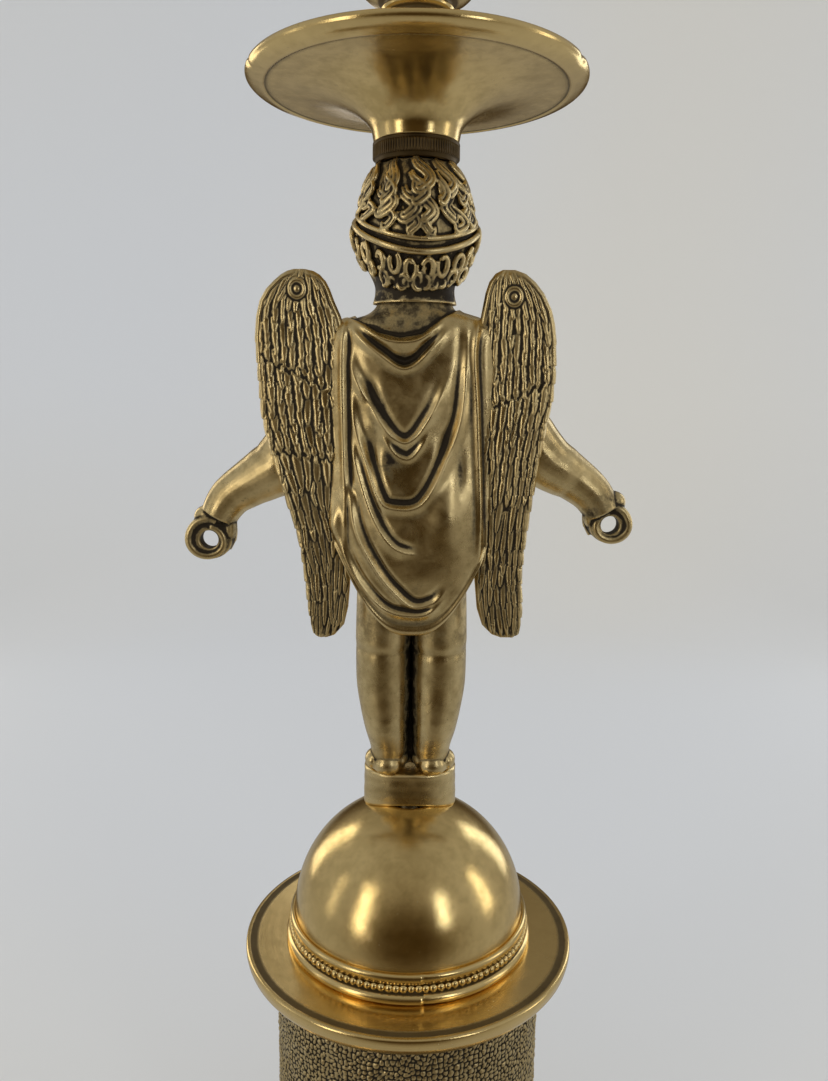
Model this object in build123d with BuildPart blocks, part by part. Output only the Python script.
"""Figural brass candlestick: a winged child on a dome carries the drip pan and candle cup on its head.

Frame: millimetres, +Z up, origin at the centre of the underside, the figure faces -Y and its own
left is +X. Every threaded piece is a plain cylinder of the thread's outer size.
"""

import os
from math import cos, pi, radians, sin, sqrt

from build123d import *

# Foot and column, from the table up
PAD_R, PAD_H = 61.0, 1.5
FOOT_R, FOOT_TOP, FOOT_WALL = 64.0, 24.0, 4.0
BASE_R, BASE_TOP, BASE_WEB = 42.5, 33.0, 3.5
DRUM_R, DRUM_WALL, DRUM_TOP = 38.2, 2.6, 96.0
SPIGOT_R, SPIGOT_H, SPIGOT_WALL = DRUM_R - DRUM_WALL - 0.05, 3.0, 3.0
CAP_R, CAP_TOP, CAP_WEB = 46.8, 103.0, 3.0

# Dome and beaded rings
DOME_R, DOME_WALL = 32.8, 2.6
DOME_SPRING = CAP_TOP + 7.5
DOME_SEAT = CAP_TOP + 39.6
RING_R, RING_H, RING_GAP = 35.2, 8.0, 0.05
LOWER_RING_R, LOWER_RING_H = 40.3, 5.0

# Tie rod, nut and washer
ROD_R, ROD_HOLE_R = 4.0, 4.05
ROD_BOTTOM, ROD_TOP = 4.0, DOME_SEAT + 7.0
BOSS_R, BOSS_BOTTOM = 12.0, 14.0
WASHER_R, WASHER_H = 9.0, 1.6
NUT_FLATS, NUT_H = 13.0, 6.5

# Figure
BLOCK_W, BLOCK_DEPTH, BLOCK_Y, BLOCK_CHAMFER = 26.6, 20.0, -5.0, 5.5
BLOCK_TOP = CAP_TOP + 49.2
HEM_LOW, HEM_SPRING = CAP_TOP + 91.0, CAP_TOP + 120.0
MANTLE_HALF = 23.4
NECK_BASE = CAP_TOP + 178.5
CROWN = CAP_TOP + 211.3
WING_BACK, WING_T = 8.6, 3.4
HAND_T, EYE_R = 6.0, 2.4

# Hidden pins of the figure
PIN_R, PIN_HOLE_R, NECK_PIN_R, NECK_HOLE_R = 1.2, 1.25, 2.0, 2.05
LEG_PIN_H, ARM_PIN_H, WING_PIN_H, NECK_PIN_H = 8.0, 10.0, 7.0, 12.0
PIN_END_GAP = 0.4
ACROSS = (0, 90, 0)
LEG_PINS = [(side * 6.5, -0.5, BLOCK_TOP) for side in (1, -1)]
ARM_PINS = [(side * 19.5, 0.0, CAP_TOP + 163.0) for side in (1, -1)]
WING_PINS = [(side * 18.5, WING_BACK - WING_T / 2, CAP_TOP + height)
             for side in (1, -1) for height in (124.0, 160.0)]
NECK_PINS = [(0, 0.5, NECK_BASE)]

# Head stud, collar and drip pan
STUD_R, STUD_HOLE_R, STUD_CLEAR_R, STUD_DEPTH = 3.0, 3.05, 3.3, 10.0
COLLAR_R, COLLAR_TOP = 11.1, CROWN + 5.0
PAN_R, PAN_NECK_R, PAN_RIM = 42.4, 10.9, CAP_TOP + 232.3
PAN_FLOOR = PAN_RIM - 3.1
STUD_TOP = PAN_FLOOR + 6.8

# Candle cup and nozzle
CUP_NECK_R, CUP_FOOT_R, CUP_BOWL_R, CUP_LIP_R = 7.3, 11.0, 17.2, 17.4
CUP_BOTTOM, CUP_TOP = CAP_TOP + 249.0, CAP_TOP + 283.0
CUP_BORE_R, CUP_BORE_DEPTH, CUP_THREAD_DEPTH = 12.1, 26.0, 10.0
SLEEVE_R, CANDLE_R = 12.0, 11.0
NOZZLE_R, NOZZLE_DEPTH, NOZZLE_FLOOR, NOZZLE_FLANGE_H = 21.0, 24.0, 1.5, 2.0

# Draped body, legs and head as level ellipses:
# (height above the cap, half width, half depth, x, y)
TORSO = [
    (86.0, 16.0, 10.0, 0, 0.0), (100.0, 18.5, 12.0, 0, 0.0), (112.0, 21.5, 13.0, 0, 0.3),
    (125.0, 22.4, 13.0, 0, 0.0), (140.0, 22.2, 11.8, 0, 0.0), (155.0, 22.6, 11.6, 0, 0.4),
    (165.0, 22.8, 11.0, 0, 0.8), (170.5, 21.2, 10.4, 0, 0.9), (173.6, 16.6, 9.8, 0, 0.8),
    (175.6, 12.0, 9.2, 0, 0.6), (178.5, 10.9, 8.8, 0, 0.5),
]
LEG = [
    (49.2, 5.9, 6.0, 6.6, -0.4), (52.5, 5.3, 5.4, 6.3, -0.6), (56.5, 5.2, 5.9, 6.1, 0.2),
    (62.0, 6.2, 7.2, 6.8, 0.8), (68.0, 6.9, 7.8, 7.3, 0.8), (75.0, 7.5, 8.2, 7.8, 0.2),
    (83.0, 7.6, 9.0, 7.9, 0.2), (92.0, 7.4, 9.0, 7.8, 0.4), (97.0, 7.0, 8.6, 7.6, 0.4),
]
HEAD = [
    (178.5, 9.8, 8.6, 0, 0.5), (182.0, 10.8, 10.4, 0, -0.4), (186.0, 13.8, 14.6, 0, -1.8),
    (190.5, 15.9, 16.8, 0, -2.2), (195.0, 16.7, 17.6, 0, -2.0), (200.0, 15.9, 17.0, 0, -1.6),
    (205.0, 14.7, 15.4, 0, -1.0), (209.0, 12.5, 12.8, 0, -0.4), (211.3, 10.3, 10.4, 0, 0.0),
]
SOLE, SOLE_X, SOLE_Y, FOOT_H = (5.4, 8.6), 6.7, -5.2, 4.6
BAND_OUTER, BAND_INNER_R, BAND_Y, BAND_H = (17.3, 18.2), 14.0, -2.0, 2.4
BAND_BOTTOM = CAP_TOP + 196.6

# Arms by side: the side's sign, stations (distance out, y, height above the cap, radius) and the hand
ARMS = {
    "left": (1, [(15.5, 0.2, 165.5, 6.4), (25.5, -0.8, 149.6, 7.8), (34.0, -1.8, 137.2, 8.1),
                 (42.1, -2.7, 131.1, 6.8), (48.6, -3.1, 126.9, 5.7), (53.0, -3.2, 120.8, 4.9)],
             (55.5, -3.2, 114.4, 6.9)),
    "right": (-1, [(15.5, 0.2, 165.5, 6.4), (25.5, -0.8, 150.6, 7.6), (34.0, -1.8, 138.8, 7.6),
                   (41.6, -2.7, 133.2, 6.6), (47.5, -3.1, 129.0, 5.6), (51.6, -3.2, 123.4, 4.8)],
              (53.8, -3.2, 119.5, 6.4)),
}

# Wing outline (distance out, height above the cap) and how far each wing spreads
WING_EDGE = [
    (15.0, 171.0), (20.5, 177.5), (24.0, 184.0), (29.5, 186.6), (35.4, 184.0), (38.6, 178.0),
    (39.8, 168.0), (38.6, 153.0), (35.8, 141.0), (31.6, 124.0), (28.8, 110.0), (27.2, 96.0),
    (25.4, 89.4), (22.4, 89.0), (18.4, 94.0),
]
WING_ROOT = [(18.4, 94.0), (15.0, 102.0), (15.0, 171.0)]
WING_SPREAD = {"left": 1.0, "right": 0.91}


# Felt pad glued under the foot
with BuildPart() as felt_pad:
    with BuildSketch():
        Circle(PAD_R)
    extrude(amount=PAD_H)

# Foot: hollow round casting with a plinth band, ovolo, cavetto, flat top and a boss under the top
step_r, step_z = FOOT_R - 7.0, PAD_H + 9.5
neck_r, neck_z = BASE_R + 0.5, FOOT_TOP - 2.5
foot_web_z = FOOT_TOP - FOOT_WALL
with BuildPart() as foot:
    with BuildSketch(Plane.XZ):
        with BuildLine():
            Polyline((ROD_HOLE_R, BOSS_BOTTOM), (BOSS_R, BOSS_BOTTOM), (BOSS_R, foot_web_z),
                     (neck_r - 7, foot_web_z))
            Spline((neck_r - 7, foot_web_z), (step_r - 7.5, step_z + 0.5), (FOOT_R - 6, PAD_H + 4))
            Polyline((FOOT_R - 6, PAD_H + 4), (FOOT_R - 6, PAD_H), (FOOT_R, PAD_H), (FOOT_R, PAD_H + 3.5))
            JernArc((FOOT_R, PAD_H + 3.5), (0, 1), 5.0, 90)
            Polyline((FOOT_R - 5, PAD_H + 8.5), (step_r, PAD_H + 8.5), (step_r, step_z + 1.5))
            ThreePointArc((step_r, step_z + 1.5), (neck_r + 3.2, step_z + 4.6), (neck_r, neck_z))
            Polyline((neck_r, neck_z), (neck_r, FOOT_TOP), (ROD_HOLE_R, FOOT_TOP), (ROD_HOLE_R, BOSS_BOTTOM))
        make_face()
    revolve(axis=Axis.Z)

# Half-round moulding under the drum, hollow below, with a spigot that centres the drum
hollow_r = SPIGOT_R - SPIGOT_WALL
base_web_z = BASE_TOP + SPIGOT_H - BASE_WEB
torus_r = (BASE_TOP - FOOT_TOP - 1.0) / 2
torus_in, torus_top, ledge_r = BASE_R - torus_r, BASE_TOP - 1.0, LOWER_RING_R
with BuildPart() as column_base:
    with BuildSketch(Plane.XZ):
        with BuildLine():
            Polyline((ROD_HOLE_R, base_web_z), (hollow_r, base_web_z), (hollow_r, FOOT_TOP),
                     (torus_in, FOOT_TOP))
            ThreePointArc((torus_in, FOOT_TOP), (BASE_R, FOOT_TOP + torus_r), (torus_in, torus_top))
            Polyline((torus_in, torus_top), (ledge_r, torus_top), (ledge_r, BASE_TOP), (SPIGOT_R, BASE_TOP),
                     (SPIGOT_R, BASE_TOP + SPIGOT_H), (ROD_HOLE_R, BASE_TOP + SPIGOT_H),
                     (ROD_HOLE_R, base_web_z))
        make_face()
    revolve(axis=Axis.Z)


def beaded_ring(inner_r, outer_r, bottom, height):
    """Strip bent round a foot: a half-round below, a band of beads as their envelope, a fillet above."""
    half_round, bead_top, top = bottom + 0.36 * height, bottom + 0.70 * height, bottom + height
    wall_r = outer_r - (half_round - bottom) / 2
    with BuildPart() as ring:
        with BuildSketch(Plane.XZ):
            with BuildLine():
                Line((inner_r, bottom), (wall_r, bottom))
                ThreePointArc((wall_r, bottom), (outer_r, (bottom + half_round) / 2), (wall_r, half_round))
                ThreePointArc((wall_r, half_round), (wall_r + 0.5, (half_round + bead_top) / 2),
                              (wall_r, bead_top))
                Polyline((wall_r, bead_top), (wall_r, top - 0.8), (wall_r - 0.5, top), (inner_r, top),
                         (inner_r, bottom))
            make_face()
        revolve(axis=Axis.Z)
    return ring


column_bead_ring = beaded_ring(DRUM_R + RING_GAP, LOWER_RING_R, BASE_TOP, LOWER_RING_H)
dome_bead_ring = beaded_ring(DOME_R + RING_GAP, RING_R, CAP_TOP, RING_H)

# Column drum: a plain tube
with BuildPart() as column_drum:
    with BuildSketch(Plane.XY.offset(BASE_TOP)):
        Circle(DRUM_R)
        Circle(DRUM_R - DRUM_WALL, mode=Mode.SUBTRACT)
    extrude(amount=DRUM_TOP - BASE_TOP)

# Column cap: a flat disc with an ovolo edge, and a ring below that centres it in the drum
with BuildPart() as column_cap:
    with BuildSketch(Plane.XZ):
        with BuildLine():
            Polyline((ROD_HOLE_R, CAP_TOP - CAP_WEB), (hollow_r, CAP_TOP - CAP_WEB),
                     (hollow_r, DRUM_TOP - SPIGOT_H), (SPIGOT_R, DRUM_TOP - SPIGOT_H), (SPIGOT_R, DRUM_TOP),
                     (DRUM_R + 2.6, DRUM_TOP))
            ThreePointArc((DRUM_R + 2.6, DRUM_TOP), (CAP_R - 1.6, DRUM_TOP + 2), (CAP_R, CAP_TOP - 1.6))
            Polyline((CAP_R, CAP_TOP - 1.6), (CAP_R, CAP_TOP - 0.5), (CAP_R - 0.5, CAP_TOP),
                     (ROD_HOLE_R, CAP_TOP), (ROD_HOLE_R, CAP_TOP - CAP_WEB))
        make_face()
    revolve(axis=Axis.Z)

# Dome: spun hemisphere on a short upright skirt, with a flat seat and a hole for the tie rod
dome_in = DOME_R - DOME_WALL
seat_r = sqrt(DOME_R**2 - (DOME_SEAT - DOME_SPRING) ** 2)
crown_z = DOME_SPRING + sqrt(dome_in**2 - ROD_HOLE_R**2)
slant = cos(radians(45))
with BuildPart() as dome:
    with BuildSketch(Plane.XZ):
        with BuildLine():
            Polyline((dome_in, DOME_SPRING), (dome_in, CAP_TOP), (DOME_R, CAP_TOP), (DOME_R, DOME_SPRING))
            ThreePointArc((DOME_R, DOME_SPRING), (DOME_R * slant, DOME_SPRING + DOME_R * slant),
                          (seat_r, DOME_SEAT))
            Polyline((seat_r, DOME_SEAT), (ROD_HOLE_R, DOME_SEAT), (ROD_HOLE_R, crown_z))
            ThreePointArc((ROD_HOLE_R, crown_z), (dome_in * slant, DOME_SPRING + dome_in * slant),
                          (dome_in, DOME_SPRING))
        make_face()
    revolve(axis=Axis.Z)

# Tie rod, with the washer and nut that clamp the stack from below
with BuildPart() as tie_rod:
    with BuildSketch(Plane.XY.offset(ROD_BOTTOM)):
        Circle(ROD_R)
    extrude(amount=ROD_TOP - ROD_BOTTOM)
    chamfer(tie_rod.edges().sort_by(Axis.Z)[0], 0.8)

with BuildPart() as tie_washer:
    with BuildSketch(Plane.XY.offset(BOSS_BOTTOM - WASHER_H)):
        Circle(WASHER_R)
        Circle(ROD_HOLE_R, mode=Mode.SUBTRACT)
    extrude(amount=WASHER_H)

with BuildPart() as tie_nut:
    with BuildSketch(Plane.XY.offset(BOSS_BOTTOM - WASHER_H - NUT_H)):
        RegularPolygon(NUT_FLATS / 2 / cos(pi / 6), 6)
        Circle(ROD_HOLE_R, mode=Mode.SUBTRACT)
    extrude(amount=NUT_H)

# Foot block: eight-sided, under the feet, tapped from below for the tie rod
with BuildPart() as foot_block:
    with BuildSketch(Plane((0, BLOCK_Y, DOME_SEAT))) as block_plan:
        Rectangle(BLOCK_W, BLOCK_DEPTH)
        chamfer(block_plan.vertices(), BLOCK_CHAMFER)
    extrude(amount=BLOCK_TOP - DOME_SEAT)
    fillet(foot_block.faces().sort_by(Axis.Z)[-1].edges(), 1.0)
    with BuildSketch(Plane.XY.offset(DOME_SEAT)):
        Circle(ROD_HOLE_R)
    extrude(amount=ROD_TOP - DOME_SEAT + 0.5, mode=Mode.SUBTRACT)
    with Locations(*LEG_PINS):
        Cylinder(PIN_HOLE_R, LEG_PIN_H + PIN_END_GAP, mode=Mode.SUBTRACT)


def wing_plate(name):
    """Flat wing: a high rounded shoulder, a long outer edge and a lowered tip beside the hem."""
    across = ARMS[name][0] * WING_SPREAD[name]
    edge = [(across * x, CAP_TOP + height) for x, height in WING_EDGE]
    root = [(across * x, CAP_TOP + height) for x, height in WING_ROOT]
    with BuildPart() as wing:
        with BuildSketch(Plane.XZ.offset(-WING_BACK)):
            with BuildLine():
                Spline(*edge)
                Polyline(*root)
            make_face()
        extrude(amount=WING_T)
        with Locations(*WING_PINS):
            Cylinder(PIN_HOLE_R, WING_PIN_H + PIN_END_GAP, rotation=ACROSS, mode=Mode.SUBTRACT)
    return wing


left_wing = wing_plate("left")
right_wing = wing_plate("right")

# Draped body before anything is let into it: cut at the bottom to the mantle's round hem
with BuildPart() as torso_form:
    for height, half_x, half_y, x, y in TORSO:
        with BuildSketch(Plane((x, y, CAP_TOP + height))):
            Ellipse(half_x, half_y)
    loft()
    with BuildSketch(Plane.XZ):
        with BuildLine():
            EllipticalCenterArc((0, HEM_SPRING), MANTLE_HALF, HEM_SPRING - HEM_LOW, 180, arc_size=180)
            Polyline((MANTLE_HALF, HEM_SPRING), (MANTLE_HALF, NECK_BASE), (-MANTLE_HALF, NECK_BASE),
                     (-MANTLE_HALF, HEM_SPRING))
        make_face()
    extrude(amount=MANTLE_HALF, both=True, mode=Mode.INTERSECT)

# The same body notched for the wings and drilled for its pins
with BuildPart() as torso:
    add(torso_form.part)
    add(left_wing.part, mode=Mode.SUBTRACT)
    add(right_wing.part, mode=Mode.SUBTRACT)
    with Locations(*ARM_PINS):
        Cylinder(PIN_HOLE_R, ARM_PIN_H + PIN_END_GAP, rotation=ACROSS, mode=Mode.SUBTRACT)
    with Locations(*WING_PINS):
        Cylinder(PIN_HOLE_R, WING_PIN_H + PIN_END_GAP, rotation=ACROSS, mode=Mode.SUBTRACT)
    with Locations(*NECK_PINS):
        Cylinder(NECK_HOLE_R, NECK_PIN_H + PIN_END_GAP, mode=Mode.SUBTRACT)


def bare_leg(side, wing):
    """Leg from under the hem to the sole, with the foot pointing forward."""
    with BuildPart() as leg:
        for height, half_x, half_y, x, y in LEG:
            with BuildSketch(Plane((side * x, y, CAP_TOP + height))):
                Ellipse(half_x, half_y)
        loft()
        with BuildSketch(Plane((side * SOLE_X, SOLE_Y, BLOCK_TOP))):
            Ellipse(*SOLE)
        extrude(amount=FOOT_H)
        add(torso_form.part, mode=Mode.SUBTRACT)
        add(wing.part, mode=Mode.SUBTRACT)
        with Locations(*LEG_PINS):
            Cylinder(PIN_HOLE_R, LEG_PIN_H + PIN_END_GAP, mode=Mode.SUBTRACT)
    return leg


left_leg = bare_leg(1, left_wing)
right_leg = bare_leg(-1, right_wing)


def bare_arm(name, wing):
    """Plump arm held down and out, ending in a closed hand with an eyelet through it front to back."""
    side, stations, (hand_x, hand_y, hand_z, hand_r) = ARMS[name]
    centres = [Vector(side * x, y, CAP_TOP + height) for x, y, height, _ in stations]
    hand_plane = Plane((side * hand_x, hand_y, CAP_TOP + hand_z), x_dir=(1, 0, 0), z_dir=(0, -1, 0))
    with BuildPart() as arm:
        for i, centre in enumerate(centres):
            before, after = centres[max(i - 1, 0)], centres[min(i + 1, len(centres) - 1)]
            with BuildSketch(Plane(centre, x_dir=(0, 1, 0), z_dir=after - before)):
                Circle(stations[i][3])
        loft()
        with BuildSketch(hand_plane):
            Circle(hand_r)
        extrude(amount=HAND_T / 2, both=True)
        with BuildSketch(hand_plane):
            Circle(EYE_R)
        extrude(amount=HAND_T, both=True, mode=Mode.SUBTRACT)
        add(torso_form.part, mode=Mode.SUBTRACT)
        add(wing.part, mode=Mode.SUBTRACT)
        with Locations(*ARM_PINS):
            Cylinder(PIN_HOLE_R, ARM_PIN_H + PIN_END_GAP, rotation=ACROSS, mode=Mode.SUBTRACT)
        with Locations(*WING_PINS):
            Cylinder(PIN_HOLE_R, WING_PIN_H + PIN_END_GAP, rotation=ACROSS, mode=Mode.SUBTRACT)
    return arm


left_arm = bare_arm("left", left_wing)
right_arm = bare_arm("right", right_wing)

# Head and neck with a round hairband; the crown is faced flat for the collar and tapped for the stud
with BuildPart() as head:
    for height, half_x, half_y, x, y in HEAD:
        with BuildSketch(Plane((x, y, CAP_TOP + height))):
            Ellipse(half_x, half_y)
    loft()
    with BuildSketch(Plane((0, BAND_Y, BAND_BOTTOM))):
        Ellipse(*BAND_OUTER)
        Circle(BAND_INNER_R, mode=Mode.SUBTRACT)
    extrude(amount=BAND_H)
    with BuildSketch(Plane.XY.offset(CROWN - STUD_DEPTH)):
        Circle(STUD_HOLE_R)
    extrude(amount=STUD_DEPTH, mode=Mode.SUBTRACT)
    with Locations(*NECK_PINS):
        Cylinder(NECK_HOLE_R, NECK_PIN_H + PIN_END_GAP, mode=Mode.SUBTRACT)

# Pins that locate the figure's pieces while they are brazed
with BuildPart() as leg_pins:
    with Locations(*LEG_PINS):
        Cylinder(PIN_R, LEG_PIN_H)

with BuildPart() as arm_pins:
    with Locations(*ARM_PINS):
        Cylinder(PIN_R, ARM_PIN_H, rotation=ACROSS)

with BuildPart() as wing_pins:
    with Locations(*WING_PINS):
        Cylinder(PIN_R, WING_PIN_H, rotation=ACROSS)

with BuildPart() as neck_pin:
    with Locations(*NECK_PINS):
        Cylinder(NECK_PIN_R, NECK_PIN_H)

# Stud that stands out of the crown and carries everything above the head
with BuildPart() as head_stud:
    with BuildSketch(Plane.XY.offset(CROWN - STUD_DEPTH)):
        Circle(STUD_R)
    extrude(amount=STUD_TOP - CROWN + STUD_DEPTH)
    chamfer(head_stud.edges().sort_by(Axis.Z)[-1], 0.6)

# Knurled collar between the crown and the pan
with BuildPart() as neck_collar:
    with BuildSketch(Plane.XY.offset(CROWN)):
        Circle(COLLAR_R)
        Circle(STUD_CLEAR_R, mode=Mode.SUBTRACT)
    extrude(amount=COLLAR_TOP - CROWN)
    chamfer(neck_collar.faces().sort_by(Axis.Z)[0].outer_wire().edges(), 0.5)

# Drip pan: trumpet underside flaring from the neck to a rolled lip, with a shallow dish on top
lip_r, lip_z = PAN_R - 4.9, PAN_RIM - 3.4
dish_r = CUP_FOOT_R + 2
with BuildPart() as drip_pan:
    with BuildSketch(Plane.XZ):
        with BuildLine():
            Polyline((STUD_CLEAR_R, COLLAR_TOP), (PAN_NECK_R, COLLAR_TOP), (PAN_NECK_R, COLLAR_TOP + 1))
            Spline((PAN_NECK_R, COLLAR_TOP + 1), (PAN_NECK_R + 2.8, COLLAR_TOP + 5.7),
                   (PAN_NECK_R + 6.4, COLLAR_TOP + 8.4), (PAN_NECK_R + 14.5, COLLAR_TOP + 11.2),
                   (lip_r, lip_z), tangents=((0, 1), (1, 0)))
            Line((lip_r, lip_z), (lip_r + 0.6, lip_z - 0.3))
            Spline((lip_r + 0.6, lip_z - 0.3), (PAN_R - 0.7, PAN_RIM - 2.5), (PAN_R, PAN_RIM - 1.2),
                   (PAN_R - 0.8, PAN_RIM), tangents=((1, 0.1), (-1, 0.1)))
            Spline((PAN_R - 0.8, PAN_RIM), (PAN_R - 2.4, PAN_RIM - 0.9), (PAN_R - 5, PAN_RIM - 1.9))
            Spline((PAN_R - 5, PAN_RIM - 1.9), (PAN_R - 16, PAN_FLOOR + 0.3), (dish_r, PAN_FLOOR),
                   tangents=((-1, -0.1), (-1, 0)))
            Polyline((dish_r, PAN_FLOOR), (STUD_CLEAR_R, PAN_FLOOR), (STUD_CLEAR_R, COLLAR_TOP))
        make_face()
    revolve(axis=Axis.Z)

# Candle cup: spreading foot, waisted neck, round bowl and flared lip, bored for the nozzle
bore_z, thread_z = CUP_TOP - CUP_BORE_DEPTH, PAN_FLOOR + CUP_THREAD_DEPTH
collet_r, throat_r = CUP_NECK_R + 1.5, CUP_BOWL_R - 2.6
with BuildPart() as candle_cup:
    with BuildSketch(Plane.XZ):
        with BuildLine():
            Polyline((0, thread_z), (STUD_HOLE_R, thread_z), (STUD_HOLE_R, PAN_FLOOR),
                     (CUP_FOOT_R, PAN_FLOOR), (CUP_FOOT_R, PAN_FLOOR + 1.8))
            Spline((CUP_FOOT_R, PAN_FLOOR + 1.8), (CUP_NECK_R + 1.2, PAN_FLOOR + 5),
                   (CUP_NECK_R, PAN_FLOOR + 10.5), (CUP_NECK_R + 0.4, CUP_BOTTOM - 2),
                   tangents=((-1, 0.3), (0.2, 1)))
            Polyline((CUP_NECK_R + 0.4, CUP_BOTTOM - 2), (collet_r, CUP_BOTTOM - 1.2),
                     (collet_r, CUP_BOTTOM))
            Spline((collet_r, CUP_BOTTOM), (13.4, CUP_BOTTOM + 1.8), (CUP_BOWL_R - 0.6, CUP_BOTTOM + 8),
                   (CUP_BOWL_R, CUP_BOTTOM + 13), (CUP_BOWL_R - 1.6, CUP_BOTTOM + 22),
                   (throat_r, CUP_TOP - 5), tangents=((1, 0.15), (0, 1)))
            Spline((throat_r, CUP_TOP - 5), (throat_r + 0.6, CUP_TOP - 2.6), (CUP_LIP_R, CUP_TOP - 1.2))
            Polyline((CUP_LIP_R, CUP_TOP - 1.2), (CUP_LIP_R, CUP_TOP), (CUP_BORE_R, CUP_TOP),
                     (CUP_BORE_R, bore_z), (0, bore_z), (0, thread_z))
        make_face()
    revolve(axis=Axis.Z)

# Candle nozzle: a closed sleeve for the candle under a dished flange that rests on the cup's lip
sleeve_z, flange_z, edge_z = CUP_TOP - NOZZLE_DEPTH, CUP_TOP + NOZZLE_FLANGE_H, CUP_TOP + 3.2
with BuildPart() as candle_nozzle:
    with BuildSketch(Plane.XZ):
        with BuildLine():
            Polyline((0, sleeve_z), (SLEEVE_R, sleeve_z), (SLEEVE_R, CUP_TOP), (NOZZLE_R - 4, CUP_TOP))
            Spline((NOZZLE_R - 4, CUP_TOP), (NOZZLE_R - 1.2, CUP_TOP + 1), (NOZZLE_R, edge_z))
            Line((NOZZLE_R, edge_z), (NOZZLE_R - 1, edge_z + 0.4))
            Spline((NOZZLE_R - 1, edge_z + 0.4), (NOZZLE_R - 2.6, flange_z + 0.4), (NOZZLE_R - 5, flange_z))
            Polyline((NOZZLE_R - 5, flange_z), (CANDLE_R, flange_z), (CANDLE_R, sleeve_z + NOZZLE_FLOOR),
                     (0, sleeve_z + NOZZLE_FLOOR), (0, sleeve_z))
        make_face()
    revolve(axis=Axis.Z)

PIECES = {
    "felt_pad": felt_pad,
    "foot": foot,
    "column_base": column_base,
    "column_bead_ring": column_bead_ring,
    "column_drum": column_drum,
    "column_cap": column_cap,
    "dome_bead_ring": dome_bead_ring,
    "dome": dome,
    "tie_rod": tie_rod,
    "tie_washer": tie_washer,
    "tie_nut": tie_nut,
    "foot_block": foot_block,
    "left_leg": left_leg,
    "right_leg": right_leg,
    "leg_pins": leg_pins,
    "torso": torso,
    "head": head,
    "neck_pin": neck_pin,
    "left_arm": left_arm,
    "right_arm": right_arm,
    "arm_pins": arm_pins,
    "left_wing": left_wing,
    "right_wing": right_wing,
    "wing_pins": wing_pins,
    "head_stud": head_stud,
    "neck_collar": neck_collar,
    "drip_pan": drip_pan,
    "candle_cup": candle_cup,
    "candle_nozzle": candle_nozzle,
}

os.makedirs("parts", exist_ok=True)
for name, piece in PIECES.items():
    piece.part.label = name
    export_step(piece.part, f"parts/{name}.step")
